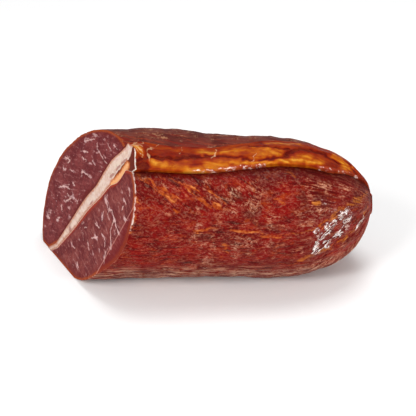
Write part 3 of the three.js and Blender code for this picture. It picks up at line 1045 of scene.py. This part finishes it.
def back_finish():
    """The far side: darker and duller dried meat above, its greyer tone a painted sheen of light reflected
    off the top, redder below, with a few pale threads.
    """
    finish = Finish("back_meat", **MEAT)
    skin = finish.place("skin")
    broad = finish.smooth(finish.noise(skin, 12, 2), 0.4, 0.6)
    strand = finish.noise(finish.turned(skin, -6, (0.16, 1, 1)), 1.7, 4, 0.62, 0.4)
    crinkle = finish.noise(finish.turned(skin, 0, (0.5, 1, 1)), 2.2, 3, 0.6, 1.2)
    crumb = finish.noise(skin, 1.5, 3, 0.65)
    patch = finish.noise(finish.turned(skin, 0, (0.6, 1, 1)), 4, 3)
    ruddy = finish.noise(finish.turned(skin, -14, (0.14, 1, 1)), 4, 3)
    thread = finish.lines(crinkle, 0.06) * finish.smooth(patch, 0.46, 0.7) * finish.smooth(crumb, 0.4, 0.6)
    red = finish.mix(broad, shade(92, 10, 8), shade(114, 26, 16))
    # painted sheen: a greyer, duller tone for the top, standing in for light reflected off it
    dull = finish.mix(broad, shade(84, 30, 24), shade(104, 46, 36))
    colour = finish.layers(
        finish.mix(finish.mark("dull"), red, dull),
        (finish.smooth(strand, 0.48, 0.32) * 0.55, (58, 14, 11)),
        (finish.smooth(strand, 0.55, 0.72) * 0.45, (140, 70, 50)),
        (finish.smooth(ruddy, 0.52, 0.66) * 0.6, (116, 20, 10)),
        (thread * 0.65, (196, 146, 106)),
        (finish.smooth(crumb + (patch - 0.5) * 0.7, 0.62, 0.78) * 0.5, (184, 128, 88)),
        (finish.smooth(finish.mark("flush") + (crumb - 0.5) * 1.8, 0.4, 1.3) * 0.6, (150, 52, 22)),
    )
    tints = (112, 42, 42), (90, 20, 24), (154, 90, 88)
    colour, fine, vein = cut_meat(finish, colour, *tints, 16, (84, 5, 3))
    return finish.surface(
        colour,
        0.45 + patch * 0.2,
        thread * 0.3,
        strand * 0.5 + crinkle * 0.3,
        fine * 0.25 + finish.smooth(vein, 0.2, 0.7) * 0.15,
        0.35,
    )


def fat_finish():
    """Amber on the strip, with a painted highlight along its lower bead and its cut edge, and at the cut the
    white band with its amber wedge.
    """
    finish = Finish("fat", **FAT)
    skin, cut = finish.place("skin"), finish.place("cut")
    swirl = finish.noise(finish.turned(skin, 0, (0.3, 1, 1)), 4.2, 3, 0.5, 0.9)
    fine = finish.noise(finish.turned(skin, 0, (0.5, 1, 1)), 1.8, 2)
    crumb = finish.noise(skin, 1.6, 3, 0.65)
    strands = finish.lines(finish.noise(finish.turned(skin, 8, (0.45, 1, 1)), 4, 3, 0.6, 1.0), 0.07)
    marked = finish.mark("amber") * 0.56 - finish.mark("dark") * 0.55
    tone = marked + (swirl - 0.5) * 1.3 + (fine - 0.5) * 0.3
    wisp = finish.smooth(finish.mark("wisps") + (crumb - 0.5) * 1.6, 0.45, 1.0)
    bead = finish.smooth(finish.mark("bead") + (crumb - 0.5) * 3.0, 0.75, 1.4)
    painted_rim_glint = finish.smooth(finish.mark("painted_rim_glint") + (crumb - 0.5) * 1.2, 0.55, 0.8)
    colour = finish.layers(
        finish.mix(finish.smooth(tone, -0.35, 0.05), shade(84, 8, 2), shade(122, 26, 3)),
        (finish.smooth(tone, -0.05, 0.3), (146, 54, 4)),
        (finish.smooth(tone, 0.2, 0.55), (174, 92, 10)),
        (finish.smooth(tone, 0.45, 0.85), (200, 138, 44)),
        (strands * 0.3, (126, 46, 6)),
        (wisp * 0.6, (214, 168, 122)),
        # the bead's own pinkish flesh, then a painted highlight along it
        (finish.mark("bead") * 0.3, (176, 84, 60)),
        (bead * 0.9, (232, 206, 194)),
        # painted highlight along the strip's cut edge
        (painted_rim_glint * 0.9, (232, 222, 212)),
    )
    cloud = finish.noise(cut, 3.2, 4)
    flour = finish.noise(cut, 1.4, 3, 0.65)
    edge = finish.mark("rim") + (flour - 0.5) * 2.6
    blot = finish.mark("blots") + (flour - 0.5) * 1.2
    wedge = finish.mark("wedge") + (flour - 0.5) * 0.7
    band = finish.layers(
        finish.mix(finish.smooth(cloud, 0.4, 0.66), shade(204, 182, 168), shade(190, 158, 144)),
        (finish.smooth(flour, 0.5, 0.3) * 0.4, (168, 130, 116)),
        (finish.smooth(edge, 1.9, 0.2) * 0.75, (160, 82, 46)),
        (finish.smooth(blot, 0.35, 0.8) * 0.75, (138, 84, 74)),
        (finish.smooth(finish.mark("beyond"), 0.2, 0.7), (92, 26, 10)),
        (finish.smooth(wedge, 0.2, 0.6) * 0.9, (176, 88, 36)),
        (finish.smooth(wedge, 0.5, 0.95) * 0.9, (216, 158, 108)),
    )
    return finish.surface(
        finish.mix(finish.mark("face"), colour, band),
        0.42 + fine * 0.12 - bead * 0.2,
        wisp * 0.5 + bead * 0.9 + painted_rim_glint,
        fine * 0.35 + swirl * 0.4 + wisp * 0.3,
        finish.noise(cut, 0.8, 3) * 0.2,
        0.3,
    )


# The pieces.
def shared_fields(grid, face, along, depth, degrees):
    """What every piece's finish reads: how far along and around it is, where the cut is, and its rim."""
    around = np.radians(degrees) * SKIN_RADIUS
    outwards = np.hypot(grid[..., 1], grid[..., 2] - axis_height(along))
    height = outwards - section_radius(degrees) * taper(along)
    skin = np.stack([np.broadcast_to(travel_at(along), around.shape), around, height], axis=-1)
    cut = np.stack([grid[..., 1], grid[..., 2], np.zeros(grid.shape[:2])], axis=-1)
    return {"skin": skin, "cut": cut, "face": face, "rim": depth}


def beside_cut(grid, along, face, width):
    """From 0 to 1, how near a place on the skin is to the cut's edge."""
    return np.exp(-(((grid[..., 0] - along[0]) / width) ** 2)) * (face < 0.9)


def beyond_band(y, z):
    """How far a place on the cut fat lies past the white band, towards the strip's lower edge."""
    return np.interp(z, BAND_HEIGHTS, BAND_EDGES) - y


def spread_degrees(grid, along, lowest=0):
    """Each place's angle round the loin's axis, over one full turn from the lowest."""
    degrees = np.degrees(np.arctan2(grid[..., 2] - axis_height(along), grid[..., 1]))
    return (degrees - lowest) % 360 + lowest


def front_muscle():
    rim = column_values(FRONT_RUNS, MUSCLE_RIMS)
    grid, face, along, depth = sheet_of(FRONT_RUNS, *MUSCLE_ROWS, rim, False)
    degrees = spread_degrees(grid, along)
    fields = shared_fields(grid, face, along, depth, degrees)
    below_strip = (degrees - strip_lower(along)) * np.radians(1) * SKIN_RADIUS
    shadow = 2.5 + 5 * ease(0, 35, along)
    fields["seam"] = np.broadcast_to(column_values(FRONT_RUNS, (0, 0, 1, 1)), face.shape)
    fields["trimmed"] = np.clip(beyond_crease(grid[..., 1], grid[..., 2]), -2, 2) * (face > 0.5)
    # Painted highlight along the cut's rim on the upper front, fading out lower down.
    fields["painted_rim_glint"] = beside_cut(grid, along, face, 1.2) * (1 - ease(160, 185, degrees))
    cut = unsteady_cut(grid)
    fields["veins"] = near_strokes(cut, scaled(FRONT_VEINS, 0.7) + flecks(40, (-36, -38), (22, 32), 3.5, 5))
    fields["clouds"] = near_strokes(cut, scaled(FRONT_VEINS, 2.4))
    loose = unsteady(along, degrees, 3.5, 1.6)
    fields["pale"] = near_skin_strokes(*loose, PALE_PATCHES)
    fields["orange"] = near_skin_strokes(*loose, scaled(ORANGE_STREAKS, 1.8))
    fields["wet"] = near_skin_strokes(*loose, WET_FOLDS)
    # Painted highlight on the crests of the wet wrinkles.
    fields["crest"] = ease(-0.1, 0.3, wet_relief(along, degrees)) * ease(0.25, 0.8, fields["wet"])
    # Painted shade below the strip's lower edge, wider towards the tail; the bare mark takes it in too, so
    # pale patches stay out of that shade.
    fields["under"] = np.exp(-((np.maximum(below_strip, 0) / shadow) ** 2))
    fields["bare"] = np.maximum(near_skin_strokes(*loose, BARE_PATCHES), fields["under"])
    # Low on the front skin: the floor's reflection painted as a dull pinkish-brown tone, and the skin's own
    # pale fibres.
    fields["low"] = ease(204, 236, degrees)
    fields["slant"] = (1 - ease(148, 162, degrees)) * (1 - ease(20, 40, along))
    fields["rise"] = ease(46, 56, along) * ease(140, 155, degrees)
    fields["tail"] = ease(34, 56, along) * (1 - fields["rise"])
    piece = wrapped("front_muscle_meat", grid, fields, front_finish())
    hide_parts("front_muscle")


def back_muscle():
    rim = column_values(BACK_RUNS, MUSCLE_RIMS)
    grid, face, along, depth = sheet_of(BACK_RUNS, *MUSCLE_ROWS, rim, False)
    degrees = spread_degrees(grid, along, -120)
    fields = shared_fields(grid, face, along, depth, degrees)
    fields["seam"] = np.broadcast_to(column_values(BACK_RUNS, (0, 1, 1, 0)), face.shape)
    cut = unsteady_cut(grid)
    fields["veins"] = near_strokes(cut, scaled(BACK_VEINS, 0.7) + flecks(50, (-18, -36), (38, 44), 2.87, 9))
    fields["clouds"] = near_strokes(cut, scaled(BACK_VEINS, 2.4))
    # Painted sheen: the tone turns greyer towards the top, for light reflected off the upward faces.
    fields["dull"] = ease(20, 70, degrees)
    fields["flush"] = near_skin_strokes(*unsteady(along, degrees, 3, 1), RUDDY_STREAKS)
    piece = wrapped("back_muscle_meat", grid, fields, back_finish())
    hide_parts("back_muscle")


def fat_seam():
    rim = column_values(FAT_RUNS, FAT_RIMS)
    grid, face, along, depth = sheet_of(FAT_RUNS, *FAT_ROWS, rim, True)
    degrees = spread_degrees(grid, along)
    fields = shared_fields(grid, face, along, depth, degrees)
    loose = unsteady(along, degrees, 2.6, 1.5)
    fan = [(-37 + 5 * math.cos(turn), 113 + 7 * math.sin(turn)) for turn in (-1.3, -0.9, -0.5, 0, 0.5, 0.9)]
    fields["amber"] = near_skin_strokes(*loose, scaled(AMBER_PATCHES, 1.7))
    fields["dark"] = near_skin_strokes(*loose, DARK_VEINS)
    fields["wisps"] = near_skin_strokes(*loose, PALE_WISPS + [(0.45, [(-37.5, 113), ray]) for ray in fan])
    # Painted highlight along the strip's lower bead, with the bead's own pinkish tone.
    fields["bead"] = near_skin_strokes(*unsteady(along, degrees, 2, 0.7), PAINTED_BEAD_GLINTS)
    # Painted highlight along the strip's edge at the cut.
    fields["painted_rim_glint"] = beside_cut(grid, along, face, 1.0) * ease(115, 118, degrees)
    cut = unsteady_cut(grid)
    fields["wedge"] = near_strokes(cut, AMBER_WEDGE)
    fields["blots"] = near_strokes(cut, BAND_BLOTS)
    fields["beyond"] = ease(-0.6, 0.6, beyond_band(cut[..., 0], cut[..., 1]))
    piece = wrapped("fat_seam_strip", grid, fields, fat_finish())
    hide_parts("fat_seam")


# The studio: a pale floor, soft light and the camera at the photo's height. Metres and degrees.
FLOOR_HALF, PAPER, PAPER_ROUGHNESS = 3, 0.9, 0.9
AIR_LIGHT = 0.5
LIT_PLACE = Vector((0.0, 0.0, 0.04))
LIGHTS = (
    ("key", (-0.40, -0.62, 0.62), 0.30, 4.2),
    ("rim", (-0.70, -0.34, 0.22), 0.10, 1.2),
    ("side", (0.60, -0.40, 0.14), 0.10, 2.2),
    ("top", (0.10, 0.10, 0.85), 0.40, 3.6),
)
CAMERA_AZIMUTH, CAMERA_ELEVATION, CAMERA_DISTANCE = -1.5, 30.5, 1.5
CAMERA_LENS, SENSOR_WIDTH = 259.6, 36
AIM_DROP = 0.0025


def studio():
    scene = bpy.context.scene
    floor = bmesh.new()
    bmesh.ops.create_grid(floor, x_segments=1, y_segments=1, size=FLOOR_HALF)
    mesh = bpy.data.meshes.new("studio_floor")
    floor.to_mesh(mesh)
    floor.free()
    plate = bpy.data.objects.new("studio_floor", mesh)
    scene.collection.objects.link(plate)
    paper = Finish("pale_paper", Base_Color=(PAPER, PAPER, PAPER, 1), Roughness=PAPER_ROUGHNESS)
    mesh.materials.append(paper.material)
    world = bpy.data.worlds.new("studio_air")
    world.use_nodes = True
    world.node_tree.nodes["Background"].inputs["Color"].default_value = (1, 1, 1, 1)
    world.node_tree.nodes["Background"].inputs["Strength"].default_value = AIR_LIGHT
    scene.world = world
    for name, place, size, power in LIGHTS:
        light = bpy.data.lights.new(name, "AREA")
        light.shape = "SQUARE"
        light.size = size
        light.energy = power
        lamp = bpy.data.objects.new(name, light)
        lamp.location = place
        lamp.rotation_euler = (LIT_PLACE - Vector(place)).to_track_quat("-Z", "Y").to_euler()
        scene.collection.objects.link(lamp)
    scene.view_settings.view_transform = "Standard"
    camera = bpy.data.cameras.new("camera")
    camera.lens = CAMERA_LENS
    camera.sensor_width = SENSOR_WIDTH
    eye = bpy.data.objects.new("camera", camera)
    scene.collection.objects.link(eye)
    azimuth, elevation = math.radians(CAMERA_AZIMUTH), math.radians(CAMERA_ELEVATION)
    level = math.cos(elevation)
    back = Vector((math.sin(azimuth) * level, -math.cos(azimuth) * level, math.sin(elevation)))
    up = back.cross(Vector((math.cos(azimuth), math.sin(azimuth), 0)))
    aim = Vector(AXIS_PLACE) * 0.001 - up * AIM_DROP
    eye.location = aim + back * CAMERA_DISTANCE
    eye.rotation_euler = back.to_track_quat("Z", "Y").to_euler()
    scene.camera = eye


studio()
front_muscle()
back_muscle()
fat_seam()
